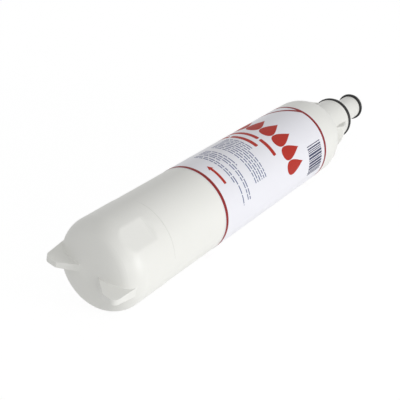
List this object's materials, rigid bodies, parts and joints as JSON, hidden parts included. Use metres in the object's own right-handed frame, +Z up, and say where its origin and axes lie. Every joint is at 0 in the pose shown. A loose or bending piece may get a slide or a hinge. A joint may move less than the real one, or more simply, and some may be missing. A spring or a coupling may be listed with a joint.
{
  "type": "water filter cartridge",
  "caption": "Sealed white water filter cartridge: a round barrel with a finned closed end, a wrapped label, a bayonet neck and an O-ring sealed outlet spigot.",
  "frame": {"origin": "on the resting surface, below the middle of the cartridge's length", "axes": "+X along the cartridge from its closed end to its spigot, +Z up as it lies"},
  "size_m": [0.3536, 0.0604, 0.0605],
  "materials": {
    "housing": "satin moulded polypropylene",
    "seals": "smooth black nitrile",
    "label": "printed white film",
    "carbon": "pressed carbon",
    "fleece": "spun polypropylene fleece",
    "element_caps": "natural polypropylene"
  },
  "bodies": {
    "root": {"barrel_body": "housing", "bottom_cup": "housing", "neck_o_ring": "seals", "spigot_o_ring": "seals", "label": "label", "carbon_block": "carbon", "prefilter_fleece": "fleece", "element_bottom_cap": "element_caps", "element_top_cap": "element_caps", "element_o_ring": "seals"}
  },
  "joints": []
}
